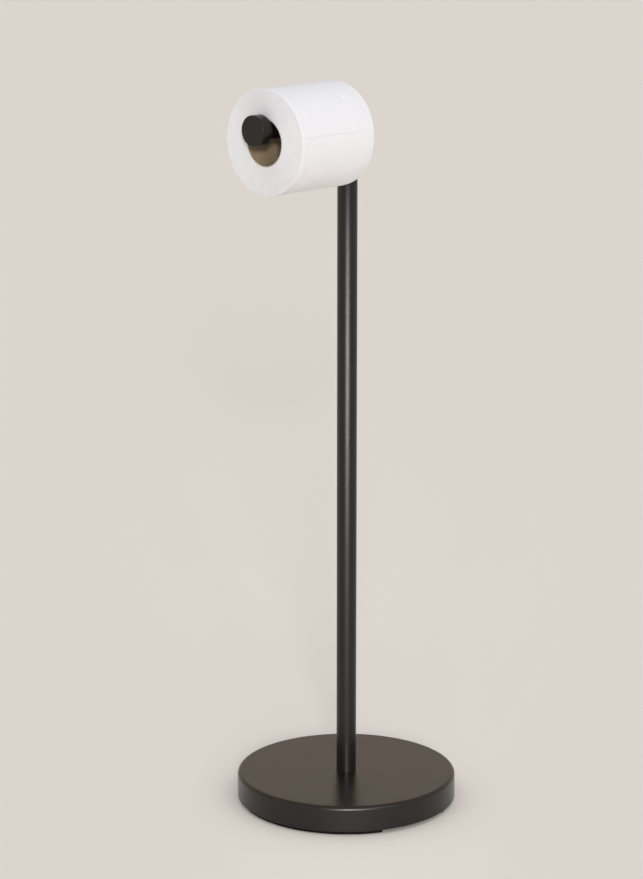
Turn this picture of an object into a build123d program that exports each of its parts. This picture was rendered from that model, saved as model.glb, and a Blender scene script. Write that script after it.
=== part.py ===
from build123d import *
from math import cos, pi, radians, sin
import os

# Freestanding toilet paper holder: a weighted round base, a tube post, a side arm that ends in a
# round knob, and the paper roll that hangs on the arm by its cardboard core.
# Millimetres. +Z is up and +X runs along the arm to the knob. The origin is on the post's axis
# at floor level, where the anti-slip strip under the base stands.

# Base cover: a pressed steel shell, open below
base_diameter = 211.0
base_height = 28.7  # from the floor to the top face
cover_wall = 1.2
cover_edge_radius = 3.7  # outside radius of the rounded top edge
cover_edge_flats = 4  # narrow flats that make up the rounded edge, each within 0.1 mm of it

# Anti-slip strip: a flat rubber band bent into a ring whose two ends stand apart
strip_thickness = 4.2
strip_width = 12.0
strip_inset = 3.6  # from the cover's outside to the strip
strip_start_angle = 107.5  # degrees from +X towards +Y
strip_gap_angle = 44.0
strip_end_radius = 2.0

# Base plate: a disc that closes the base from below and carries the strip
plate_thickness = 2.8
plate_recess = 0.4  # the cover's rim hangs this far below the plate
plate_gap = 0.3  # between the plate's edge and the cover

# Counterweight: an iron casting with a rim, a thin floor, ribs and a hub for the bolt
casting_gap = 0.8  # between the casting and the cover
rim_width = 27.5
rim_height = 16.0
floor_thickness = 4.0
rib_count = 6
rib_thickness = 6.0
rib_drop = 0.5  # the ribs end this far below the cover
rib_overlap = 4.0  # how far each rib runs into the rim and the hub
hub_wall = 8.0

# Base bolt with its washer, up through the hub and the cover into the post
bolt_diameter = 8.0
bolt_head_flats = 13.0
bolt_head_height = 5.3
bolt_grip = 14.0  # length inside the post
bolt_tip_bevel = 1.0
bolt_gap = 0.4  # all round the bolt in the hub, the cover and the washer
bolt_sunk = 1.4  # the head ends this far above the casting's underside
socket_room = 4.0  # round the head, for the spanner
washer_diameter = 14.8
washer_thickness = 2.0
washer_slit = 1.2
washer_slit_angle = 25.0

# Post
post_diameter = 19.0
post_wall = 1.2
foot_insert_length = 24.0
cap_height = 2.5
cap_bevel = 1.0
plug_length = 34.0
post_above_arm = 14.0  # from the arm's axis to the tube's upper end

# Arm, with its collar, stud and threaded insert
arm_height = 663.5  # the arm's axis above the floor
arm_diameter = 19.0
arm_wall = 1.2
collar_length = 4.0  # from the post's side to the arm tube's end
collar_step = 2.0  # the collar is this much smaller in radius than the post
stud_diameter = 8.0
stud_in_post = 5.0  # how far the stud passes the post's axis
stud_in_arm = 18.0
arm_insert_length = 24.0

# End knob, with a spigot pressed into the arm
knob_diameter = 28.4
knob_length = 11.0
knob_bevel = 1.0  # round its outer face
spigot_length = 14.0

# Paper roll and its core
roll_diameter = 98.0
roll_length = 93.5
roll_back_gap = 5.7  # from the post's side to the roll's back face
roll_front_gap = 3.8  # from the roll's front face to the back of the knob
core_bore = 43.0
core_wall = 0.9
winding_gap = 0.05  # between the core and the first turn of paper
hang_gap = 0.3  # between the top of the arm and the core that hangs on it
tail_angle = 81.0  # degrees from straight up towards +Y, where the free end of the paper lies
tail_step = 0.5  # height of the free end over the turn below it

# Clearances of all the threads and press fits, and the overrun of all cuts
press_gap = 0.02
thread_gap = 0.05
seat_gap = 0.02
overrun = 1.0

# Places that follow from the sizes above
base_radius = base_diameter / 2
cover_top_inside = base_height - cover_wall
plate_top = strip_thickness + plate_thickness
cover_bottom = strip_thickness - plate_recess
cover_radius_inside = base_radius - cover_wall
strip_outer_radius = base_radius - strip_inset
strip_inner_radius = strip_outer_radius - strip_width
casting_outer_radius = cover_radius_inside - casting_gap
rim_inner_radius = casting_outer_radius - rim_width
bolt_radius = bolt_diameter / 2
bolt_hole_radius = bolt_radius + bolt_gap
bolt_head_radius = bolt_head_flats / 2 / cos(radians(30))
counterbore_radius = bolt_head_radius + socket_room
hub_radius = counterbore_radius + hub_wall
bolt_head_bottom = plate_top + bolt_sunk
bolt_head_top = bolt_head_bottom + bolt_head_height
hub_seat = bolt_head_top + washer_thickness
bolt_top = base_height + bolt_grip
post_radius = post_diameter / 2
post_bore_radius = post_radius - post_wall
post_top = arm_height + post_above_arm
arm_radius = arm_diameter / 2
arm_bore_radius = arm_radius - arm_wall
arm_start = post_radius + collar_length
roll_back = post_radius + roll_back_gap
roll_front = roll_back + roll_length
knob_back = roll_front + roll_front_gap
arm_reach = knob_back + knob_length
stud_radius = stud_diameter / 2
stud_hole_radius = stud_radius + bolt_gap
core_inner_radius = core_bore / 2
core_outer_radius = core_inner_radius + core_wall
roll_radius = roll_diameter / 2
roll_axis_height = arm_height - (core_inner_radius - arm_radius - hang_gap)

# The arm's pieces are turned about Z and then laid along +X at the arm's height.
on_arm = Location((0, 0, arm_height), (0, 90, 0))
on_roll = Location((0, 0, roll_axis_height), (0, 90, 0))


def turned(outline, bevels=()):
    """Turn an outline of (radius, height) points about Z, with chosen corners bevelled."""
    profile = make_face(Polyline(*[(radius, 0, height) for radius, height in outline], close=True))
    for (radius, height), size in bevels:
        corner = profile.vertices().sort_by_distance((radius, 0, height))[0]
        profile = chamfer(corner, size)
    return revolve(profile, Axis.Z)


def ring(outer, inner, low, high):
    """A plain ring or tube about Z."""
    return turned([(inner, low), (outer, low), (outer, high), (inner, high)])


def rod(radius, low, high):
    """A plain round bar about Z, or the cutter for a round hole."""
    return Pos(0, 0, low) * Cylinder(radius, high - low, align=(Align.CENTER, Align.CENTER, Align.MIN))


def make_base_cover():
    # The rounded edge runs from the side up to the top face in equal steps of its quarter turn.
    steps = [pi / 2 * step / cover_edge_flats for step in range(cover_edge_flats + 1)]
    middle_radius = base_radius - cover_edge_radius
    middle_height = base_height - cover_edge_radius
    rounded_edge = [
        (middle_radius + cover_edge_radius * cos(step), middle_height + cover_edge_radius * sin(step))
        for step in steps
    ]
    outline = [
        (bolt_hole_radius, cover_top_inside),
        (cover_radius_inside, cover_top_inside),
        (cover_radius_inside, cover_bottom),
        (base_radius, cover_bottom),
        *rounded_edge,
        (bolt_hole_radius, base_height),
    ]
    inside_corner = (cover_radius_inside, cover_top_inside)
    return turned(outline, bevels=[(inside_corner, cover_edge_radius - cover_wall)])


def make_anti_slip_strip():
    flat = make_face(
        Polyline(
            (strip_inner_radius, 0, 0),
            (strip_outer_radius, 0, 0),
            (strip_outer_radius, 0, strip_thickness),
            (strip_inner_radius, 0, strip_thickness),
            close=True,
        )
    )
    band = Rot(0, 0, strip_start_angle) * revolve(flat, Axis.Z, 360 - strip_gap_angle)
    return fillet(band.edges().filter_by(Axis.Z), strip_end_radius)


def make_base_plate():
    return ring(cover_radius_inside - plate_gap, counterbore_radius, strip_thickness, plate_top)


def make_base_weight():
    outline = [
        (bolt_hole_radius, hub_seat),
        (bolt_hole_radius, cover_top_inside),
        (hub_radius, cover_top_inside),
        (hub_radius, plate_top + floor_thickness),
        (rim_inner_radius, plate_top + floor_thickness),
        (rim_inner_radius, plate_top + rim_height),
        (casting_outer_radius, plate_top + rim_height),
        (casting_outer_radius, plate_top),
        (counterbore_radius, plate_top),
        (counterbore_radius, hub_seat),
    ]
    casting = turned(outline)
    # A rib is as high as the hub inside the rim, and only its foot runs on into the rim.
    rib_start = hub_radius - rib_overlap
    rib_end = rim_inner_radius + rib_overlap
    rib_foot = plate_top + floor_thickness / 2
    rib_middle = (rib_start + rib_end) / 2
    rib_plan = Pos(rib_middle, 0, rib_foot) * Rectangle(rib_end - rib_start, rib_thickness)
    rib = extrude(rib_plan, cover_top_inside - rib_drop - rib_foot)
    rib -= ring(casting_outer_radius, rim_inner_radius, plate_top + rim_height, base_height)
    casting += [Rot(0, 0, turn * 360 / rib_count) * rib for turn in range(rib_count)]
    return casting


def make_base_bolt():
    head = extrude(Pos(0, 0, bolt_head_bottom) * RegularPolygon(bolt_head_radius, 6), bolt_head_height)
    foot = bolt_head_bottom + bolt_head_height / 2
    shank = turned(
        [(0, foot), (bolt_radius, foot), (bolt_radius, bolt_top), (0, bolt_top)],
        bevels=[((bolt_radius, bolt_top), bolt_tip_bevel)],
    )
    return head + shank


def make_spring_washer():
    washer = ring(washer_diameter / 2, bolt_hole_radius, bolt_head_top, hub_seat)
    slit = Pos(washer_diameter / 2, 0, (bolt_head_top + hub_seat) / 2) * Rot(washer_slit_angle, 0, 0)
    return washer - slit * Box(washer_diameter, washer_slit, washer_thickness * 2 + overrun)


def make_foot_insert():
    top = base_height + foot_insert_length
    return ring(post_bore_radius - press_gap, bolt_radius + thread_gap, base_height, top)


def make_post_tube():
    tube = ring(post_radius, post_bore_radius, base_height, post_top)
    return tube - on_arm * rod(stud_hole_radius, 0, post_diameter)


def make_head_plug():
    outer = post_bore_radius - press_gap
    outline = [
        (0, post_top - plug_length),
        (outer, post_top - plug_length),
        (outer, post_top),
        (post_radius, post_top),
        (post_radius, post_top + cap_height),
        (0, post_top + cap_height),
    ]
    plug = turned(outline, bevels=[((post_radius, post_top + cap_height), cap_bevel)])
    return plug - on_arm * rod(stud_radius + thread_gap, -stud_in_post - thread_gap, post_diameter)


def make_arm_collar():
    collar = on_arm * ring(post_radius - collar_step, stud_hole_radius, 0, arm_start)
    # The face towards the post is hollowed to the post's own curve.
    return collar - rod(post_radius + seat_gap, arm_height - post_diameter, arm_height + post_diameter)


def make_arm_stud():
    return on_arm * rod(stud_radius, -stud_in_post, arm_start + stud_in_arm)


def make_arm_tube():
    return on_arm * ring(arm_radius, arm_bore_radius, arm_start, knob_back)


def make_arm_insert():
    end = arm_start + arm_insert_length
    return on_arm * ring(arm_bore_radius - press_gap, stud_radius + thread_gap, arm_start, end)


def make_end_knob():
    radius = knob_diameter / 2
    spigot_radius = arm_bore_radius - press_gap
    outline = [
        (0, knob_back - spigot_length),
        (spigot_radius, knob_back - spigot_length),
        (spigot_radius, knob_back),
        (radius, knob_back),
        (radius, arm_reach),
        (0, arm_reach),
    ]
    return on_arm * turned(outline, bevels=[((radius, arm_reach), knob_bevel)])


def make_roll_core():
    return on_roll * ring(core_outer_radius, core_inner_radius, roll_back, roll_front)


def make_paper_roll():
    # One turn of the outside is two half circles about shifted centres. It starts at the free end
    # of the paper, runs up over the roll and comes back one step lower, under that free end.
    def place(out, across):
        tail = radians(tail_angle)
        return (
            roll_back,
            out * sin(tail) - across * cos(tail),
            roll_axis_height + out * cos(tail) + across * sin(tail),
        )

    quarter_step = tail_step / 4
    free_end = place(roll_radius, 0)
    over_top = place(quarter_step, roll_radius - quarter_step)
    far_side = place(-(roll_radius - 2 * quarter_step), 0)
    under = place(-quarter_step, -(roll_radius - 3 * quarter_step))
    turn_below = place(roll_radius - tail_step, 0)
    outside = [
        ThreePointArc(free_end, over_top, far_side),
        ThreePointArc(far_side, under, turn_below),
        Line(turn_below, free_end),
    ]
    winding = extrude(make_face(outside), roll_length, dir=(1, 0, 0))
    winding_bore = rod(core_outer_radius + winding_gap, roll_back - overrun, roll_front + overrun)
    return winding - on_roll * winding_bore


pieces = {
    "base_cover": make_base_cover(),
    "anti_slip_strip": make_anti_slip_strip(),
    "base_plate": make_base_plate(),
    "base_weight": make_base_weight(),
    "base_bolt": make_base_bolt(),
    "spring_washer": make_spring_washer(),
    "foot_insert": make_foot_insert(),
    "post_tube": make_post_tube(),
    "head_plug": make_head_plug(),
    "arm_collar": make_arm_collar(),
    "arm_stud": make_arm_stud(),
    "arm_tube": make_arm_tube(),
    "arm_insert": make_arm_insert(),
    "end_knob": make_end_knob(),
    "roll_core": make_roll_core(),
    "paper_roll": make_paper_roll(),
}

os.makedirs("parts", exist_ok=True)
for node, piece in pieces.items():
    export_step(piece.solid(), f"parts/{node}.step")
    print(node, len(piece.solids()), "solid", round(piece.volume), "mm3")
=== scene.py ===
import math

import bmesh
import bpy
from mathutils import Matrix, Vector, noise


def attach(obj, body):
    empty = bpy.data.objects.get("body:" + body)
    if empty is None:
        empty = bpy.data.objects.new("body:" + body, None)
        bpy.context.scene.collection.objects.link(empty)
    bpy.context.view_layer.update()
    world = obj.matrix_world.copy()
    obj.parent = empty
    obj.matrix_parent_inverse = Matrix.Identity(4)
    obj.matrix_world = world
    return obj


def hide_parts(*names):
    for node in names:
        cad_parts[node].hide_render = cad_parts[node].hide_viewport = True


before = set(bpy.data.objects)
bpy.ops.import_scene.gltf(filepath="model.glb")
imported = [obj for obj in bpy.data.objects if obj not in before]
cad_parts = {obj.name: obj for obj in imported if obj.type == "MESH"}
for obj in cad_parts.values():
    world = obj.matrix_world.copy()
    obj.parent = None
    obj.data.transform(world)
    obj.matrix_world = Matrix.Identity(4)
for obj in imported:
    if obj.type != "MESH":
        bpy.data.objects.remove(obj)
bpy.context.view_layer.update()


# Camera. It stands where the photograph was taken from: on the knob's side of the roll, a little
# higher than the post, and looks down along a long lens. The sizes are metres and radians.
camera_place = Vector((1.968, 1.868, 1.017))
camera_turn, camera_pitch = 0.7682, 0.2381
camera_lens = 120.7


def pointing(turn, rise):
    """The direction that lies turn radians from +X towards +Y and rises rise radians."""
    return Vector((math.cos(turn) * math.cos(rise), math.sin(turn) * math.cos(rise), math.sin(rise)))


camera = bpy.data.objects.new("camera", bpy.data.cameras.new("camera"))
camera.data.lens = camera_lens
camera.location = camera_place
camera.rotation_euler = (-pointing(camera_turn, camera_pitch)).to_track_quat("-Z", "Y").to_euler()
bpy.context.scene.collection.objects.link(camera)
bpy.context.scene.camera = camera
bpy.context.scene.view_settings.view_transform = "Standard"


# Floor and light. A plain pale floor runs on past the picture's edges. Two lamps shine from the
# camera's side and a broad one from its right, and the pale room is brightest at its ceiling.
# Four small lamps near the floor shine up at the post and stop short of the roll.
def linear(colour):
    """An sRGB hex colour as linear red, green, blue and alpha."""
    shares = [int(colour[place:place + 2], 16) / 255 for place in (1, 3, 5)]
    return [s / 12.92 if s <= 0.04045 else ((s + 0.055) / 1.055) ** 2.4 for s in shares] + [1.0]


def add_node(tree, kind, settings=None, links=None):
    """Add a node, set its properties and sockets, and join its sockets to other nodes' outputs."""
    made = tree.nodes.new(kind)
    for name, value in (settings or {}).items():
        if isinstance(name, int) or name in made.inputs:
            made.inputs[name].default_value = value
        else:
            setattr(made, name, value)
    for name, output in (links or {}).items():
        tree.links.new(output, made.inputs[name])
    return made


def start_material(name):
    """A new material without nodes, as (material, its node tree)."""
    material = bpy.data.materials.new(name)
    material.use_nodes = True
    material.node_tree.nodes.clear()
    return material, material.node_tree


floor_half = 16.0
floor_mesh = bpy.data.meshes.new("floor")
floor_mesh.from_pydata(
    [(x * floor_half, y * floor_half, 0.0) for x, y in ((-1, -1), (1, -1), (1, 1), (-1, 1))],
    [],
    [(0, 1, 2, 3)],
)
floor = bpy.data.objects.new("floor", floor_mesh)
bpy.context.scene.collection.objects.link(floor)
pale_floor, tree = start_material("pale_matt_floor")
surface = add_node(tree, "ShaderNodeBsdfPrincipled", {
    "Base Color": linear("#F7F0E6"), "Roughness": 0.85})
add_node(tree, "ShaderNodeOutputMaterial", {}, {"Surface": surface.outputs["BSDF"]})
floor_mesh.materials.append(pale_floor)

lamps = {
    # name: (degrees from +X towards +Y, degrees above the floor, spread in degrees, strength)
    "low_front_lamp": (46.0, 1.5, 10.0, 0.15),
    "front_lamp": (46.0, 17.0, 8.0, 1.2),
    "broad_side_lamp": (76.0, 28.0, 40.0, 0.42),
}
for name, (turn, rise, spread, strength) in lamps.items():
    lamp = bpy.data.objects.new(name, bpy.data.lights.new(name, "SUN"))
    lamp.data.energy = strength
    lamp.data.angle = math.radians(spread)
    towards = pointing(math.radians(turn), math.radians(rise))
    lamp.rotation_euler = towards.to_track_quat("Z", "Y").to_euler()
    bpy.context.scene.collection.objects.link(lamp)

# Each post lamp is (degrees from +X towards +Y, watts).
post_lamps = ((34.0, 12.0), (45.0, 16.0), (56.0, 17.0), (66.0, 6.0))
post_lamp_distance, post_lamp_height = 1.5, 0.12
post_lamp_rise, post_lamp_cone = math.radians(5.8), math.radians(24.0)
for turn, watts in post_lamps:
    spot = bpy.data.objects.new("post_lamp", bpy.data.lights.new("post_lamp", "SPOT"))
    spot.data.energy = watts
    spot.data.spot_size = post_lamp_cone
    spot.data.spot_blend = 0.1
    spot.data.shadow_soft_size = 0.04
    turn = math.radians(turn)
    spot.location = (
        post_lamp_distance * math.cos(turn), post_lamp_distance * math.sin(turn), post_lamp_height)
    spot.rotation_euler = (-pointing(turn, -post_lamp_rise)).to_track_quat("-Z", "Y").to_euler()
    bpy.context.scene.collection.objects.link(spot)

room = bpy.data.worlds.new("pale_room")
room.use_nodes = True
tree = room.node_tree
tree.nodes.clear()
# The camera, reflections and clear materials see the pale backdrop, and the room lights the rest.
path = add_node(tree, "ShaderNodeLightPath")
seen = add_node(tree, "ShaderNodeMath", {"operation": "MAXIMUM"}, {
    0: path.outputs["Is Camera Ray"], 1: path.outputs["Is Glossy Ray"]})
seen_or_through = add_node(tree, "ShaderNodeMath", {"operation": "MAXIMUM"}, {
    0: seen.outputs[0], 1: path.outputs["Is Transmission Ray"]})
way = add_node(tree, "ShaderNodeTexCoord")
height = add_node(tree, "ShaderNodeSeparateXYZ", {}, {"Vector": way.outputs["Generated"]})
ceiling = add_node(tree, "ShaderNodeMapRange", {"To Min": 0.2, "To Max": 0.83}, {
    "Value": height.outputs["Z"]})
light = add_node(tree, "ShaderNodeBackground", {"Color": linear("#F8F9FC")}, {
    "Strength": ceiling.outputs[0]})
backdrop = add_node(tree, "ShaderNodeBackground", {"Color": linear("#F2DFCC"), "Strength": 0.85})
mixed = add_node(tree, "ShaderNodeMixShader", {}, {
    0: seen_or_through.outputs[0], 1: light.outputs[0], 2: backdrop.outputs[0]})
add_node(tree, "ShaderNodeOutputWorld", {}, {"Surface": mixed.outputs[0]})
bpy.context.scene.world = room


# Counterweight, base bolt and washer. The weight is a ribbed disc of grey cast iron, as it comes
# from the sand mould, and the bolt, washer, stud and threaded plugs are zinc-plated steel.
def steps_on_piece(tree, size_mm, shares=(1, 1, 1)):
    """Coordinates on the piece in steps of size_mm, for a pattern drawn at scale 1."""
    place = add_node(tree, "ShaderNodeTexCoord")
    steps = [share * 1000 / size_mm for share in shares]
    mapped = add_node(tree, "ShaderNodeMapping", {"Scale": steps}, {"Vector": place.outputs["Object"]})
    return mapped.outputs[0]


cast_grey_iron, tree = start_material("cast_grey_iron")
# Sand casting leaves a dull, evenly pitted skin of grains about 0.6 mm across, darker in the pits.
sand = add_node(tree, "ShaderNodeTexNoise", {"Scale": 1.0, "Detail": 5.0}, {
    "Vector": steps_on_piece(tree, 0.6)})
skin = add_node(tree, "ShaderNodeMix", {
    "data_type": "RGBA", 6: linear("#4A4948"), 7: linear("#6E6D6B")}, {"Factor": sand.outputs[0]})
pits = add_node(tree, "ShaderNodeBump", {"Distance": 0.0001, "Strength": 0.9}, {
    "Height": sand.outputs[0]})
surface = add_node(tree, "ShaderNodeBsdfPrincipled", {"Metallic": 0.7, "Roughness": 0.68}, {
    "Base Color": skin.outputs[2], "Normal": pits.outputs[0]})
add_node(tree, "ShaderNodeOutputMaterial", {}, {"Surface": surface.outputs["BSDF"]})
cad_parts["base_weight"].material_slots[0].material = cast_grey_iron

zinc_plated_steel, tree = start_material("zinc_plated_steel")
# Zinc with a clear passivation is bright with a faint blue and straw cloud over millimetres.
cloud = add_node(tree, "ShaderNodeTexNoise", {"Scale": 1.0, "Detail": 3.0}, {
    "Vector": steps_on_piece(tree, 3.0)})
tint = add_node(tree, "ShaderNodeMix", {
    "data_type": "RGBA", 6: linear("#BFC6CC"), 7: linear("#D3CFC2")}, {"Factor": cloud.outputs[0]})
dull = add_node(tree, "ShaderNodeMapRange", {"To Min": 0.24, "To Max": 0.42}, {
    "Value": cloud.outputs[0]})
surface = add_node(tree, "ShaderNodeBsdfPrincipled", {"Metallic": 1.0}, {
    "Base Color": tint.outputs[2], "Roughness": dull.outputs[0]})
add_node(tree, "ShaderNodeOutputMaterial", {}, {"Surface": surface.outputs["BSDF"]})
for name in ("base_bolt", "spring_washer", "foot_insert", "arm_stud", "arm_insert"):
    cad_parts[name].material_slots[0].material = zinc_plated_steel


# Base plate. A flat moulded disc of black polypropylene closes the base from below, with a round
# opening for the spanner. It is screwed to the weight and carries the strip.
def soften(outline, steps=6):
    """The points of a closed outline of (radius, along, rounding) corners, with the corners rounded."""
    points = []
    for number, (radius, along, rounding) in enumerate(outline):
        corner = Vector((radius, along))
        if not rounding:
            points.append(corner)
            continue
        back = (Vector(outline[number - 1][:2]) - corner).normalized()
        on = (Vector(outline[(number + 1) % len(outline)][:2]) - corner).normalized()
        half = back.angle(on) / 2
        centre = corner + (back + on).normalized() * rounding / math.sin(half)
        first = corner + back * rounding / math.tan(half) - centre
        last = corner + on * rounding / math.tan(half) - centre
        sweep = math.atan2(first.x * last.y - first.y * last.x, first.dot(last))
        for step in range(steps + 1):
            points.append(centre + Matrix.Rotation(sweep * step / steps, 2) @ first)
    return points


def band(here, there, count, closed=True):
    """The faces between two rows of count corners, which start at here and there."""
    return [
        (here + s, here + (s + 1) % count, there + (s + 1) % count, there + s)
        for s in range(count if closed else count - 1)
    ]


def add_piece(name, corners, faces):
    """A new piece in the scene, from its corners in mm and the faces between them."""
    piece_mesh = bpy.data.meshes.new(name)
    piece_mesh.from_pydata([[size / 1000 for size in corner] for corner in corners], [], faces)
    piece = bpy.data.objects.new(name, piece_mesh)
    bpy.context.scene.collection.objects.link(piece)
    return piece


def finish_mesh(piece, sharp_degrees=35.0):
    """Weld a piece's mesh, turn its faces outwards and shade it smooth between its sharp edges."""
    work = bmesh.new()
    work.from_mesh(piece.data)
    bmesh.ops.remove_doubles(work, verts=work.verts, dist=1e-7)
    bmesh.ops.recalc_face_normals(work, faces=work.faces)
    work.to_mesh(piece.data)
    work.free()
    piece.data.polygons.foreach_set("use_smooth", [True] * len(piece.data.polygons))
    piece.data.set_sharp_from_angle(angle=math.radians(sharp_degrees))


def spun(name, outline, turns, axis_height=None, steps=6):
    """A turned piece: its outline in mm goes round the post's axis, or a level one at axis_height."""
    points = soften(outline, steps)
    corners, faces = [], []
    for turn in range(turns):
        angle = 2 * math.pi * turn / turns
        for radius, along in points:
            if axis_height is None:
                corners.append((radius * math.cos(angle), radius * math.sin(angle), along))
            else:
                corners.append((along, radius * math.sin(angle), axis_height + radius * math.cos(angle)))
        faces += band(turn * len(points), (turn + 1) % turns * len(points), len(points))
    piece = add_piece(name, corners, faces)
    finish_mesh(piece)
    piece.modifiers.new("even_shading", "WEIGHTED_NORMAL").keep_sharp = True
    return piece


# The plate fits inside the cover, which is 1.2 mm sheet, and the strip holds it off the floor.
cover_radius, steel_wall, plate_play = 105.5, 1.2, 0.3
plate_radius = cover_radius - steel_wall - plate_play
plate_low, plate_high, plate_edge = 4.2, 7.0, 0.5
spanner_radius, spanner_edge = 11.506, 0.4
plate_disc = spun("plate_disc", [
    (spanner_radius, plate_low, spanner_edge), (plate_radius, plate_low, plate_edge),
    (plate_radius, plate_high, 0.0), (spanner_radius, plate_high, 0.0)], turns=192)
moulded_polypropylene, tree = start_material("moulded_black_polypropylene")
# The spark-eroded mould gives the plastic a fine even grain, drawn 0.8 mm across so that it shows.
grain = add_node(tree, "ShaderNodeTexVoronoi", {"Scale": 1.0}, {"Vector": steps_on_piece(tree, 0.8)})
grain_bump = add_node(tree, "ShaderNodeBump", {"Distance": 0.00003, "Strength": 0.7}, {
    "Height": grain.outputs[0]})
wiped = add_node(tree, "ShaderNodeTexNoise", {"Scale": 1.0, "Detail": 2.0}, {
    "Vector": steps_on_piece(tree, 25.0)})
wiped_dull = add_node(tree, "ShaderNodeMapRange", {"To Min": 0.46, "To Max": 0.6}, {
    "Value": wiped.outputs[0]})
surface = add_node(tree, "ShaderNodeBsdfPrincipled", {"Base Color": linear("#2B2B2C")}, {
    "Roughness": wiped_dull.outputs[0], "Normal": grain_bump.outputs[0]})
add_node(tree, "ShaderNodeOutputMaterial", {}, {"Surface": surface.outputs["BSDF"]})
plate_disc.data.materials.append(moulded_polypropylene)
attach(plate_disc, "stand")
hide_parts("base_plate")


# Plate screws. Three small pan-head screws of zinc-plated steel, with cross recesses, hold the
# plate to the weight's rim. Their heads stay clear of the floor, inside the strip.
screw_count, first_screw_degrees, screw_circle = 3, 30, 82.0
screw_head_radius, screw_head_low, screw_head_sunk = 3.3, 2.8, 0.5
flat_share, fall_power = 0.45, 2.6
recess_arm, recess_half_width, recess_depth, recess_slope = 1.9, 0.42, 0.9, 0.2
rings, spokes = 22, 72
for number in range(screw_count):
    angle = math.radians(first_screw_degrees + 360 / screw_count * number)
    middle = Vector((screw_circle * math.cos(angle), screw_circle * math.sin(angle)))
    corners = [(middle.x, middle.y, screw_head_low + recess_depth)]
    faces = [(0, 1 + spoke, 1 + (spoke + 1) % spokes) for spoke in range(spokes)]
    for ring in range(1, rings + 1):
        share = ring / rings
        # The head is flat in its middle and falls away towards the plate.
        drop = (plate_low - screw_head_low) * max(0.0, (share - flat_share) / (1 - flat_share)) ** fall_power
        for spoke in range(spokes):
            around = 2 * math.pi * spoke / spokes
            across = Vector((math.cos(around), math.sin(around))) * screw_head_radius * share
            inside = max(
                min(recess_half_width - abs(across.x), recess_arm - abs(across.y)),
                min(recess_half_width - abs(across.y), recess_arm - abs(across.x)),
            )
            sunk = recess_depth * min(1.0, max(0.0, inside / recess_slope))
            corners.append((middle.x + across.x, middle.y + across.y, screw_head_low + max(drop, sunk)))
        faces += band(1 + (ring - 1) * spokes, 1 + ring * spokes, spokes)
    # The head closes on a flat face sunk into the plate.
    corners += [corner[:2] + (plate_low + screw_head_sunk,) for corner in corners[-spokes:]]
    faces.append(tuple(range(len(corners) - spokes, len(corners))))
    screw = add_piece(f"plate_screw_{number + 1}", corners, faces)
    finish_mesh(screw)
    screw.data.materials.append(zinc_plated_steel)
    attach(screw, "stand")


# Anti-slip strip. A flat band of black rubber is stuck in a ring under the plate, and its two cut
# ends stand apart. The stand rests on it.
strip_inset, strip_width, strip_edge, strip_end = 3.6, 12.0, 0.35, 2.0
strip_from, strip_turn = math.radians(107.5), math.radians(316.0)
strip_outer = cover_radius - strip_inset
strip_inner = strip_outer - strip_width
section = soften([
    (strip_inner, 0.0, strip_edge), (strip_outer, 0.0, strip_edge),
    (strip_outer, plate_low, 0.0), (strip_inner, plate_low, 0.0)], steps=3)
strip_middle = (strip_inner + strip_outer) / 2
strip_length = strip_turn * strip_middle
# Stations along the strip lie close at its rounded ends and far apart between them.
end_steps, side_steps = 6, 200
stations = [strip_end * (1 - math.cos(math.pi / 2 * step / end_steps)) for step in range(end_steps + 1)]
between = [strip_end + (strip_length - 2 * strip_end) * step / side_steps for step in range(1, side_steps)]
stations = stations + between + [strip_length - place for place in reversed(stations)]
corners = []
for place in stations:
    from_end = min(place, strip_length - place)
    pulled_in = strip_end - math.sqrt(max(0.0, strip_end ** 2 - max(0.0, strip_end - from_end) ** 2))
    angle = strip_from + place / strip_middle
    for radius, height in section:
        radius = strip_middle + (radius - strip_middle) * (1 - 2 * pulled_in / strip_width)
        corners.append((radius * math.cos(angle), radius * math.sin(angle), height))
count = len(section)
faces = [tuple(range(count)), tuple(reversed(range(len(corners) - count, len(corners))))]
for station in range(len(stations) - 1):
    faces += band(station * count, (station + 1) * count, count)
strip = add_piece("rubber_strip", corners, faces)
finish_mesh(strip)
black_rubber, tree = start_material("black_sheet_rubber")
# Pressed sheet rubber is dull and has a fine cloth print, about 0.7 mm between its threads.
cloth = add_node(tree, "ShaderNodeTexNoise", {"Scale": 1.0, "Detail": 2.0}, {
    "Vector": steps_on_piece(tree, 0.7)})
cloth_bump = add_node(tree, "ShaderNodeBump", {"Distance": 0.00006, "Strength": 0.8}, {
    "Height": cloth.outputs[0]})
surface = add_node(tree, "ShaderNodeBsdfPrincipled", {
    "Base Color": linear("#0C0C0C"), "Roughness": 0.88, "Specular IOR Level": 0.15}, {
    "Normal": cloth_bump.outputs[0]})
add_node(tree, "ShaderNodeOutputMaterial", {}, {"Surface": surface.outputs["BSDF"]})
strip.data.materials.append(black_rubber)
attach(strip, "stand")
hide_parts("anti_slip_strip")


# Base cover. Pressed from 1.2 mm steel sheet like a flat lid, with a rounded edge, and powder
# coated satin black. It sits over the weight and the post stands on its middle.
cover_low, cover_top, cover_round, rim_edge, bolt_hole = 3.8, 28.7, 3.7, 0.5, 4.4
cover_bore, cover_ceiling = cover_radius - steel_wall, cover_top - steel_wall
cover_shell = spun("cover_shell", [
    (bolt_hole, cover_top, 0.0), (cover_radius, cover_top, cover_round),
    (cover_radius, cover_low, rim_edge), (cover_bore, cover_low, rim_edge),
    (cover_bore, cover_ceiling, cover_round - steel_wall), (bolt_hole, cover_ceiling, 0.0)],
    turns=288, steps=10)
satin_black_powder_coat, tree = start_material("satin_black_powder_coat")
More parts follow.
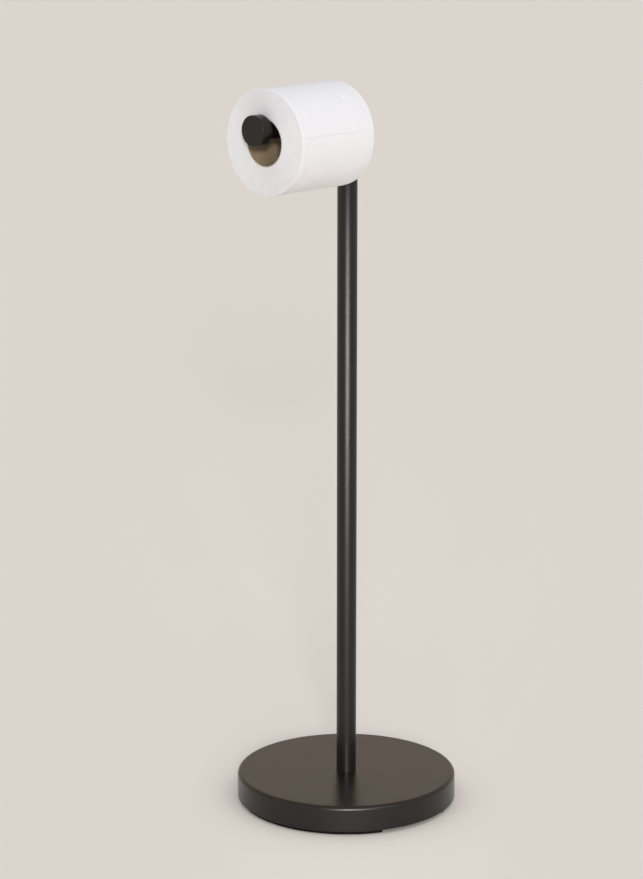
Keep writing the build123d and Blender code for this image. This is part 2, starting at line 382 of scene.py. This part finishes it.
# The baked powder flows out to a satin skin: soft sheen, a shallow orange peel about 1.6 mm wide
# and a fine grain, drawn 0.5 mm across so that it shows.
peel = add_node(tree, "ShaderNodeTexNoise", {"Scale": 1.0, "Detail": 1.0}, {
    "Vector": steps_on_piece(tree, 1.6)})
powder = add_node(tree, "ShaderNodeTexNoise", {"Scale": 1.0, "Detail": 2.0}, {
    "Vector": steps_on_piece(tree, 0.5)})
peel_bump = add_node(tree, "ShaderNodeBump", {"Distance": 0.00001, "Strength": 1.0}, {
    "Height": peel.outputs[0]})
powder_bump = add_node(tree, "ShaderNodeBump", {"Distance": 0.000006, "Strength": 1.0}, {
    "Height": powder.outputs[0], "Normal": peel_bump.outputs[0]})
# Handling leaves it a little duller in patches about 40 mm across.
handled = add_node(tree, "ShaderNodeTexNoise", {"Scale": 1.0, "Detail": 3.0}, {
    "Vector": steps_on_piece(tree, 40.0)})
sheen = add_node(tree, "ShaderNodeMapRange", {"To Min": 0.26, "To Max": 0.31}, {
    "Value": handled.outputs[0]})
coat = add_node(tree, "ShaderNodeMix", {
    "data_type": "RGBA", 6: linear("#0F0E0E"), 7: linear("#171615")}, {"Factor": powder.outputs[0]})
surface = add_node(tree, "ShaderNodeBsdfPrincipled", {"Specular IOR Level": 0.37}, {
    "Base Color": coat.outputs[2], "Roughness": sheen.outputs[0], "Normal": powder_bump.outputs[0]})
add_node(tree, "ShaderNodeOutputMaterial", {}, {"Surface": surface.outputs["BSDF"]})
cover_shell.data.materials.append(satin_black_powder_coat)
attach(cover_shell, "stand")
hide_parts("base_cover")


# Post. A plain 19 mm steel tube with a 1.2 mm wall, powder coated like the cover. The base bolt
# draws it down on the cover, and a turned plug with a flat cap closes it at the top.
tube_radius, tube_edge, plug_play = 9.5, 0.12, 0.02
tube_bore = tube_radius - steel_wall
plug_radius = tube_bore - plug_play
post_top, plug_length, cap_height, cap_edge = 677.5, 34.0, 2.5, 1.0
plug_low, cap_top = post_top - plug_length, post_top + cap_height
post_tube = spun("post_shaft", [
    (tube_radius, cover_top, 0.0), (tube_radius, post_top, tube_edge),
    (tube_bore, post_top, 0.0), (tube_bore, cover_top, 0.0)], turns=96)
post_cap = spun("post_cap", [
    (0.0, plug_low, 0.0), (plug_radius, plug_low, 0.0), (plug_radius, post_top, 0.0),
    (tube_radius, post_top, tube_edge), (tube_radius, cap_top, cap_edge), (0.0, cap_top, 0.0)], turns=96)
for piece, stands_for in ((post_tube, "post_tube"), (post_cap, "head_plug")):
    piece.data.materials.append(satin_black_powder_coat)
    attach(piece, "stand")
    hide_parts(stands_for)


# Arm. A short collar, hollowed to the post's curve, carries a level piece of the post's tube.
# A stud holds both to the plug inside the post, and all of it is coated black.
arm_height, knob_back, collar_length = 663.5, 112.5, 4.0
arm_start, arm_edge = tube_radius + collar_length, 0.3
collar_outer, collar_inner, collar_turns = 7.5, 4.4, 72
# Each corner of the collar's section is (radius, whether it lies against the post).
collar_section = ((collar_inner, True), (collar_outer, True), (collar_outer, False), (collar_inner, False))
count = len(collar_section)
corners, faces = [], []
for turn in range(collar_turns):
    angle = 2 * math.pi * turn / collar_turns
    for radius, against_post in collar_section:
        side = radius * math.sin(angle)
        along = math.sqrt(tube_radius ** 2 - side ** 2) if against_post else arm_start
        corners.append((along, side, arm_height + radius * math.cos(angle)))
    faces += band(turn * count, (turn + 1) % collar_turns * count, count)
collar = add_piece("coped_collar", corners, faces)
finish_mesh(collar)
arm = spun("arm_shaft", [
    (tube_radius, arm_start, arm_edge), (tube_radius, knob_back, tube_edge),
    (tube_bore, knob_back, 0.0), (tube_bore, arm_start, tube_edge)], turns=96, axis_height=arm_height)
for piece, stands_for in ((collar, "arm_collar"), (arm, "arm_tube")):
    piece.data.materials.append(satin_black_powder_coat)
    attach(piece, "stand")
    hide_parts(stands_for)


# End knob. A flat button turned from bar, 28.4 mm across, with its edges broken and a spigot
# pressed into the arm. It keeps the roll on the arm and is coated black.
knob_radius, knob_thickness, spigot_length = 14.2, 11.0, 14.0
spigot_edge, back_edge, face_edge = 0.3, 0.4, 0.8
spigot_start, knob_face = knob_back - spigot_length, knob_back + knob_thickness
knob = spun("end_button", [
    (0.0, spigot_start, 0.0), (plug_radius, spigot_start, spigot_edge),
    (plug_radius, knob_back, 0.0), (knob_radius, knob_back, back_edge),
    (knob_radius, knob_face, face_edge), (0.0, knob_face, 0.0)], turns=128, axis_height=arm_height)
knob.data.materials.append(satin_black_powder_coat)
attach(knob, "stand")
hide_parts("end_knob")


# Core. A spiral-wound tube of brown kraft board, 43 mm in the bore with a 0.9 mm wall. Its two
# plies run round it in a helix, so a seam winds along the bore, and the cut ends are paler.
core_bore, core_wall, core_clear, outer_edge, bore_edge = 21.5, 0.9, 0.3, 0.15, 0.3
core_outer = core_bore + core_wall
post_gap, knob_gap = 5.7, 3.8
roll_back, roll_front = tube_radius + post_gap, knob_back - knob_gap
# The core hangs on the arm, so its axis lies below the arm's.
roll_height = arm_height - (core_bore - tube_radius) + core_clear
core = spun("board_core", [
    (core_outer, roll_back, outer_edge), (core_outer, roll_front, outer_edge),
    (core_bore, roll_front, bore_edge), (core_bore, roll_back, bore_edge)],
    turns=144, axis_height=roll_height, steps=3)
kraft_board, tree = start_material("brown_kraft_board")
place = add_node(tree, "ShaderNodeTexCoord")
apart = add_node(tree, "ShaderNodeSeparateXYZ", {}, {"Vector": place.outputs["Object"]})
height = add_node(tree, "ShaderNodeMath", {"operation": "SUBTRACT", 1: roll_height / 1000}, {
    0: apart.outputs["Z"]})
around = add_node(tree, "ShaderNodeMath", {"operation": "ARCTAN2"}, {
    0: apart.outputs["Y"], 1: height.outputs[0]})
turned_by = add_node(tree, "ShaderNodeMath", {"operation": "DIVIDE", 1: 2 * math.pi}, {
    0: around.outputs[0]})
# The ply is 76 mm wide along the tube, so the seam comes round once in that length.
ply_width, seam_start = 76.0, 0.38
along = add_node(tree, "ShaderNodeMath", {"operation": "DIVIDE", 1: ply_width / 1000}, {
    0: apart.outputs["X"]})
helix = add_node(tree, "ShaderNodeMath", {"operation": "ADD"}, {
    0: turned_by.outputs[0], 1: along.outputs[0]})
started = add_node(tree, "ShaderNodeMath", {"operation": "ADD", 1: seam_start}, {0: helix.outputs[0]})
ply = add_node(tree, "ShaderNodeMath", {"operation": "FRACT"}, {0: started.outputs[0]})
seam = add_node(tree, "ShaderNodeMapRange", {"From Max": 0.012, "To Min": 1.0, "To Max": 0.0}, {
    "Value": ply.outputs[0]})
# The board's fibres are drawn 1.1 mm thick and lie along the tube, and it is mottled every 7 mm.
fibre = add_node(tree, "ShaderNodeTexNoise", {"Scale": 1.0, "Detail": 4.0}, {
    "Vector": steps_on_piece(tree, 1.1, (0.35, 1, 1))})
mottle = add_node(tree, "ShaderNodeTexNoise", {"Scale": 1.0, "Detail": 2.0}, {
    "Vector": steps_on_piece(tree, 7.0)})
board = add_node(tree, "ShaderNodeMix", {
    "data_type": "RGBA", 6: linear("#A5927A"), 7: linear("#C9B698")}, {"Factor": fibre.outputs[0]})
patchy = add_node(tree, "ShaderNodeMix", {
    "data_type": "RGBA", "blend_type": "MULTIPLY", 7: linear("#E0D8CC")}, {
    "Factor": mottle.outputs[0], 6: board.outputs[2]})
seamed = add_node(tree, "ShaderNodeMix", {"data_type": "RGBA", 7: linear("#6B5236")}, {
    "Factor": seam.outputs[0], 6: patchy.outputs[2]})
# The cut ends are paler than the faces of the board.
half_length, pale_from, pale_full = (roll_front - roll_back) / 2, 0.4, 0.2
from_middle = add_node(tree, "ShaderNodeMath", {
    "operation": "SUBTRACT", 1: (roll_front + roll_back) / 2000}, {0: apart.outputs["X"]})
outward = add_node(tree, "ShaderNodeMath", {"operation": "ABSOLUTE"}, {0: from_middle.outputs[0]})
cut_end = add_node(tree, "ShaderNodeMapRange", {
    "From Min": (half_length - pale_from) / 1000, "From Max": (half_length - pale_full) / 1000}, {
    "Value": outward.outputs[0]})
ended = add_node(tree, "ShaderNodeMix", {"data_type": "RGBA", 7: linear("#CFC6B8")}, {
    "Factor": cut_end.outputs[0], 6: seamed.outputs[2]})
ply_step = add_node(tree, "ShaderNodeBump", {"Distance": 0.0002, "Strength": 1.0}, {
    "Height": seam.outputs[0]})
fibre_bump = add_node(tree, "ShaderNodeBump", {"Distance": 0.00004, "Strength": 0.8}, {
    "Height": fibre.outputs[0], "Normal": ply_step.outputs[0]})
surface = add_node(tree, "ShaderNodeBsdfPrincipled", {"Roughness": 0.88}, {
    "Base Color": ended.outputs[2], "Normal": fibre_bump.outputs[0]})
add_node(tree, "ShaderNodeOutputMaterial", {}, {"Surface": surface.outputs["BSDF"]})
core.data.materials.append(kraft_board)
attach(core, "roll")
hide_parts("roll_core")


# Wound paper. The tissue is one long web wound on the core, so each end shows a fine spiral of
# cut edges. A real turn is 0.25 mm thick and is drawn as 0.5 mm, so that the spiral shows.
def wavering(most, x, y, z):
    """A size from nought to most that wavers smoothly with the place x, y, z."""
    return most * (1 + noise.noise(Vector((x, y, z)))) / 2


def on_roll(along, radius, angle):
    """The place in mm at a radius from the roll's axis and an angle from its top towards +Y."""
    return along, radius * math.sin(angle), roll_height + radius * math.cos(angle)


def drawn_in(corner, depth, along_by=0.0):
    """A corner moved depth nearer to the roll's axis, and along_by along it."""
    along, across, up = corner
    share = 1 - depth / math.hypot(across, up - roll_height)
    return along + along_by, across * share, roll_height + (up - roll_height) * share


roll_radius, last_turn_depth, core_play, tail_angle = 49.0, 0.55, 0.05, 81.0
winding_bore, winding_radius = core_outer + core_play, roll_radius - last_turn_depth
turn_steps, drawn_turn = 120, 0.5
whole_turns = round((winding_radius - winding_bore) / drawn_turn)
turn_height = (winding_radius - winding_bore) / whole_turns
last_step = turn_steps * whole_turns
groove, slow_wander, slow_steps, slow_rise = 0.3, 0.14, 97, 0.35
quick_wander, quick_round, quick_rise = 0.1, 2, 3
# Each step of a turn has four points, from its inner to its outer edge.
edge_points = 4
corners, faces = [], []
for end, facing in ((roll_front, -1), (roll_back, 1)):
    start = len(corners)
    for step in range(last_step + 1):
        angle = math.radians(tail_angle - 360 * (last_step - step) / turn_steps)
        inner = winding_bore + turn_height * max(0, step - turn_steps) / turn_steps
        outer = winding_bore + turn_height * step / turn_steps
        # The web wanders a little sideways as it is wound, and its cut edges are not quite even.
        wander = wavering(slow_wander, step / slow_steps, outer * slow_rise, end)
        up, out = math.cos(angle) * quick_round, math.sin(angle) * quick_round
        wander += wavering(quick_wander, up, out, outer * quick_rise)
        for share, depth in ((0.0, groove), (0.3, wander), (0.75, wander), (1.0, groove)):
            corners.append(on_roll(end + facing * depth, inner + (outer - inner) * share, angle))
    for step in range(last_step):
        here = start + step * edge_points
        faces += band(here, here + edge_points, edge_points, closed=False)
# The two ends are joined along the bore, and by an outer side that lies well under the last turn.
end_length = (last_step + 1) * edge_points
for step in range(turn_steps):
    here, there = step * edge_points, (step + 1) * edge_points
    faces.append((here, there, end_length + there, end_length + here))
side_depth, side_inset = 1.2, 0.7
outermost = [step * edge_points + 3 for step in range(last_step - turn_steps, last_step + 1)]
outermost += [last_step * edge_points + 2, last_step * edge_points + 1]
side = len(corners)
for start, facing in ((0, -1), (end_length, 1)):
    for corner in outermost:
        corners.append(drawn_in(corners[start + corner], side_depth, facing * side_inset))
for place, corner in enumerate(outermost):
    on = (place + 1) % len(outermost)
    front, back = side + place, side + len(outermost) + place
    front_on, back_on = side + on, side + len(outermost) + on
    faces.append((corner, outermost[on], front_on, front))
    faces.append((front, front_on, back_on, back))
    faces.append((back, back_on, end_length + outermost[on], end_length + corner))
winding = add_piece("wound_tissue", corners, faces)
finish_mesh(winding, 80.0)
tissue_edges, tree = start_material("slit_tissue_edges")
# Slit edges of the web take the light like felt: white, dull and a little uneven from turn to turn.
uneven = add_node(tree, "ShaderNodeTexNoise", {"Scale": 1.0, "Detail": 3.0}, {
    "Vector": steps_on_piece(tree, 9.0)})
edge_white = add_node(tree, "ShaderNodeMix", {
    "data_type": "RGBA", 6: linear("#EAE8EA"), 7: linear("#F3F2F4")}, {"Factor": uneven.outputs[0]})
lint = add_node(tree, "ShaderNodeTexNoise", {"Scale": 1.0, "Detail": 3.0}, {
    "Vector": steps_on_piece(tree, 0.5)})
lint_bump = add_node(tree, "ShaderNodeBump", {"Distance": 0.00006, "Strength": 0.8}, {
    "Height": lint.outputs[0]})
surface = add_node(tree, "ShaderNodeBsdfPrincipled", {"Roughness": 0.95}, {
    "Base Color": edge_white.outputs[2], "Normal": lint_bump.outputs[0]})
add_node(tree, "ShaderNodeOutputMaterial", {}, {"Surface": surface.outputs["BSDF"]})
winding.data.materials.append(tissue_edges)
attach(winding, "roll")


# Outer sheet. The last turn of the web lies round the roll with its torn end on the side. It is
# creped tissue, with two lines pressed along both edges to hold its plies, perforated every 115 mm.
def swell(across, swellings):
    """The height at a place across the web of soft swellings, each (place, width, height) in mm."""
    return sum(height * math.exp(-((across - place) / width) ** 2) for place, width, height in swellings)


sheet_width, turn_drop, sheet_thickness = roll_front - roll_back, 0.2, 0.15
# Rows of points across the web lie close together at its cut edges, which are pressed in a little.
edge_rows, first_even_row, even_rows = [0.16, 0.2, 0.34, 0.7, 1.3, 2.0], 2.8, 112
even_width = sheet_width - 2 * first_even_row
rows = edge_rows + [first_even_row + even_width * row / even_rows for row in range(even_rows + 1)]
rows += [sheet_width - across for across in reversed(edge_rows)]
press_depth, broad_reach, sharp_reach = 0.3, 5, 0.4
# The sheet was torn off along its perforation, which leaves it ragged, with small tufts.
long_tear, long_tear_apart, short_tear, short_tear_apart = 0.6, 17, 0.3, 1.3
tuft_length, tuft_width, tuft_apart = 0.5, 1.0, 6.5
# The free end lies close, and stands up a little only at three places.
raised_places, end_sunk = ((14.0, 7.0, 0.14), (54.0, 7.0, 0.28), (72.0, 5.0, 0.28)), 0.1
pressed_in, torn, lifted = [], [], []
for across in rows:
    near = min(across, sheet_width - across)
    broad_press = press_depth * max(0.0, 1 - near / broad_reach) ** 2
    sharp_press = press_depth * max(0.0, 1 - (near - edge_rows[0]) / sharp_reach) ** 3
    pressed_in.append(broad_press + sharp_press)
    ragged = long_tear * noise.noise(Vector((across / long_tear_apart, 0.0, 3.0)))
    ragged += short_tear * noise.noise(Vector((across / short_tear_apart, 0.0, 7.0)))
    torn.append(ragged + (tuft_length if across % tuft_apart < tuft_width else 0.0))
    lifted.append(swell(across, raised_places) - end_sunk)
# The web is a little slack in places, and has low ribs where it was pulled tight.
slack_depth, slack_apart, slack_round = 0.16, 14, 2.2
rib_depth, rib_apart, rib_round = 0.06, 3.4, 0.7
# Shallow furrows run round the roll, deeper low on the side where the web was slack.
furrows = ((11.0, 1.3, 0.2), (23.0, 1.8, 0.12), (50.5, 1.5, 0.22), (69.5, 1.5, 0.24), (76.0, 1.2, 0.12))
furrow_from = math.radians(40)
# A fingertip has left one small dent high on the side.
dent_across, dent_width, dent_degrees, dent_spread, dent_depth = 67.5, 2.4, 40.5, 4.0, 0.6
# The web goes 364 degrees round, in steps that are finer over the last 8 degrees at its free end.
whole_back, fine_back, coarse_steps, fine_steps = 364, 8, 300, 32
# The tear moves points up to 5 mm back from that end, and the raised places reach back 7 mm.
torn_reach, lift_reach = 5, 7
turned_back = [whole_back - (whole_back - fine_back) * step / coarse_steps for step in range(coarse_steps)]
turned_back += [fine_back - fine_back * step / fine_steps for step in range(fine_steps + 1)]
corners, lengths, faces = [], [], []
for back in turned_back:
    length = math.radians(back) * roll_radius
    for row, across in enumerate(rows):
        moved = torn[row] * max(0.0, 1 - length / torn_reach)
        angle = math.radians(tail_angle - back) + moved / roll_radius
        up, out = math.cos(angle), math.sin(angle)
        slack = wavering(slack_depth, across / slack_apart, up * slack_round, out * slack_round)
        ribs = wavering(rib_depth, across / rib_apart, up * rib_round, out * rib_round)
        furrowed = swell(across, furrows) * max(0.0, math.sin(angle - furrow_from)) ** 2
        from_dent = ((across - dent_across) / dent_width) ** 2
        from_dent += ((math.degrees(angle) - dent_degrees) / dent_spread) ** 2
        dent = dent_depth * math.exp(-from_dent)
        radius = roll_radius - turn_drop * back / 360 - pressed_in[row] - slack - ribs - dent - furrowed
        radius += lifted[row] * max(0.0, 1 - length / lift_reach) ** 2
        corners.append(on_roll(roll_front - across, radius, angle))
        lengths.append((length / 1000, across / 1000))
count = len(rows)
last_back = len(turned_back) - 1
for step in range(last_back):
    faces += band(step * count, (step + 1) * count, count, closed=False)
# The sheet's inner face lies 0.15 mm below the outer one and takes every fourth of its steps.
inner_every = 4
inner_steps = list(range(0, last_back + 1, inner_every))
inner_start = len(corners)
for step in inner_steps:
    for corner in range(step * count, (step + 1) * count):
        corners.append(drawn_in(corners[corner], sheet_thickness))
        lengths.append(lengths[corner])
inner_end = inner_start + (len(inner_steps) - 1) * count
for place in range(len(inner_steps) - 1):
    here, there = inner_start + place * count, inner_start + (place + 1) * count
    faces += band(there, here, count, closed=False)
    for row in (0, count - 1):
        outer_side = [(inner_steps[place] + on) * count + row for on in range(inner_every + 1)]
        side_face = outer_side + [there + row, here + row]
        faces.append(tuple(reversed(side_face) if row == 0 else side_face))
faces += band(last_back * count, inner_end, count, closed=False)
faces += band(inner_start, 0, count, closed=False)
sheet = add_piece("outer_sheet", corners, faces)
# The plan says where each point lies on the flat web, in metres back from its free end and across it.
plan = sheet.data.uv_layers.new(name="sheet_plan")
for corner in sheet.data.loops:
    plan.data[corner.index].uv = lengths[corner.vertex_index]
finish_mesh(sheet, 50.0)

creped_tissue, tree = start_material("creped_white_tissue")
# Creping leaves fine ridges across the web, 0.4 mm apart in real tissue and drawn 0.9 mm apart,
# and the web is a little stretched in bands along it, 3.5 mm wide.
ridge_apart, ridge_length, band_length, band_width = 0.9, 6.0, 400.0, 3.5
plan_place = add_node(tree, "ShaderNodeUVMap", {"uv_map": "sheet_plan"})
ridge_place = add_node(tree, "ShaderNodeMapping", {
    "Scale": (1000 / ridge_apart, 1000 / ridge_length, 1)}, {"Vector": plan_place.outputs[0]})
ridges = add_node(tree, "ShaderNodeTexNoise", {"Scale": 1.0, "Detail": 3.0}, {
    "Vector": ridge_place.outputs[0]})
band_place = add_node(tree, "ShaderNodeMapping", {
    "Scale": (1000 / band_length, 1000 / band_width, 1)}, {"Vector": plan_place.outputs[0]})
bands = add_node(tree, "ShaderNodeTexNoise", {"Scale": 1.0, "Detail": 2.0}, {
    "Vector": band_place.outputs[0]})
ridge_bump = add_node(tree, "ShaderNodeBump", {"Distance": 0.00005, "Strength": 0.6}, {
    "Height": ridges.outputs[0]})
band_bump = add_node(tree, "ShaderNodeBump", {"Distance": 0.0001, "Strength": 0.8}, {
    "Height": bands.outputs[0], "Normal": ridge_bump.outputs[0]})
# Two lines of fine dots, 5.5 and 8 mm in from each edge, press the plies together.
near_line, far_line, line_half_width, dot_half_apart = 5.5, 8.0, 0.8, 0.8
plan_parts = add_node(tree, "ShaderNodeSeparateXYZ", {}, {"Vector": plan_place.outputs[0]})
from_edge = add_node(tree, "ShaderNodeMath", {"operation": "PINGPONG", 1: sheet_width / 2000}, {
    0: plan_parts.outputs["Y"]})
between_lines = add_node(tree, "ShaderNodeMath", {
    "operation": "SUBTRACT", 1: (near_line + far_line) / 2000}, {0: from_edge.outputs[0]})
past_middle = add_node(tree, "ShaderNodeMath", {"operation": "ABSOLUTE"}, {0: between_lines.outputs[0]})
off_line = add_node(tree, "ShaderNodeMath", {
    "operation": "SUBTRACT", 1: (far_line - near_line) / 2000}, {0: past_middle.outputs[0]})
line_distance = add_node(tree, "ShaderNodeMath", {"operation": "ABSOLUTE"}, {0: off_line.outputs[0]})
line = add_node(tree, "ShaderNodeMapRange", {
    "From Max": line_half_width / 1000, "To Min": 1.0, "To Max": 0.0}, {"Value": line_distance.outputs[0]})
dot = add_node(tree, "ShaderNodeMath", {"operation": "PINGPONG", 1: dot_half_apart / 1000}, {
    0: plan_parts.outputs["X"]})
dot_depth = add_node(tree, "ShaderNodeMapRange", {
    "From Max": dot_half_apart / 1000, "To Min": 0.45, "To Max": 1.0}, {"Value": dot.outputs[0]})
pressed = add_node(tree, "ShaderNodeMath", {"operation": "MULTIPLY"}, {
    0: line.outputs[0], 1: dot_depth.outputs[0]})
press_bump = add_node(tree, "ShaderNodeBump", {"Distance": 0.00022, "Strength": 1.0, "invert": True}, {
    "Height": pressed.outputs[0], "Normal": band_bump.outputs[0]})
# A perforation is a row of 4.5 mm slits across the web with 1 mm bonds between them; the slits are
# painted grey, which is painted shade inside them. The free end was torn off along one, and there the
# same grey is a fainter painted shadow line along the torn edge, least of all near the back.
perforation_apart, slit_length, bond_width = 115.0, 4.5, 1.0
off_row = add_node(tree, "ShaderNodeMath", {"operation": "PINGPONG", 1: perforation_apart / 2000}, {
    0: plan_parts.outputs["X"]})
row_cut = add_node(tree, "ShaderNodeMapRange", {
    "From Min": 0.0001, "From Max": 0.0003, "To Min": 1.0, "To Max": 0.0}, {"Value": off_row.outputs[0]})
slit = add_node(tree, "ShaderNodeMath", {
    "operation": "PINGPONG", 1: (slit_length + bond_width) / 2000}, {0: plan_parts.outputs["Y"]})
slit_open = add_node(tree, "ShaderNodeMath", {"operation": "GREATER_THAN", 1: bond_width / 2000}, {
    0: slit.outputs[0]})
end_shade = add_node(tree, "ShaderNodeMapRange", {
    "From Min": 0.03, "From Max": 0.08, "To Min": 0.55, "To Max": 0.2}, {"Value": plan_parts.outputs["Y"]})
past_end = add_node(tree, "ShaderNodeMapRange", {"From Min": 0.02, "From Max": 0.03}, {
    "Value": plan_parts.outputs["X"], "To Min": end_shade.outputs[0]})
slit_row = add_node(tree, "ShaderNodeMath", {"operation": "MULTIPLY"}, {
    0: row_cut.outputs[0], 1: past_end.outputs[0]})
slit_and_end_painted_shade = add_node(tree, "ShaderNodeMath", {"operation": "MULTIPLY"}, {
    0: slit_row.outputs[0], 1: slit_open.outputs[0]})
cut_bump = add_node(tree, "ShaderNodeBump", {"Distance": 0.0003, "Strength": 1.0, "invert": True}, {
    "Height": slit_and_end_painted_shade.outputs[0], "Normal": press_bump.outputs[0]})
soft_mottle = add_node(tree, "ShaderNodeTexNoise", {"Scale": 1.0, "Detail": 3.0}, {
    "Vector": steps_on_piece(tree, 12.0)})
white = add_node(tree, "ShaderNodeMix", {
    "data_type": "RGBA", 6: linear("#EFEEF1"), 7: linear("#F5F4F6")}, {"Factor": soft_mottle.outputs[0]})
# The slits' grey is painted shade, and at the free end it is a painted shadow line along the torn edge.
white_with_painted_shade = add_node(tree, "ShaderNodeMix", {"data_type": "RGBA", 7: linear("#B9B6B8")}, {
    "Factor": slit_and_end_painted_shade.outputs[0], 6: white.outputs[2]})
surface = add_node(tree, "ShaderNodeBsdfPrincipled", {"Roughness": 0.92}, {
    "Base Color": white_with_painted_shade.outputs[2], "Normal": cut_bump.outputs[0]})
add_node(tree, "ShaderNodeOutputMaterial", {}, {"Surface": surface.outputs["BSDF"]})
sheet.data.materials.append(creped_tissue)
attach(sheet, "roll")
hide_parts("paper_roll")
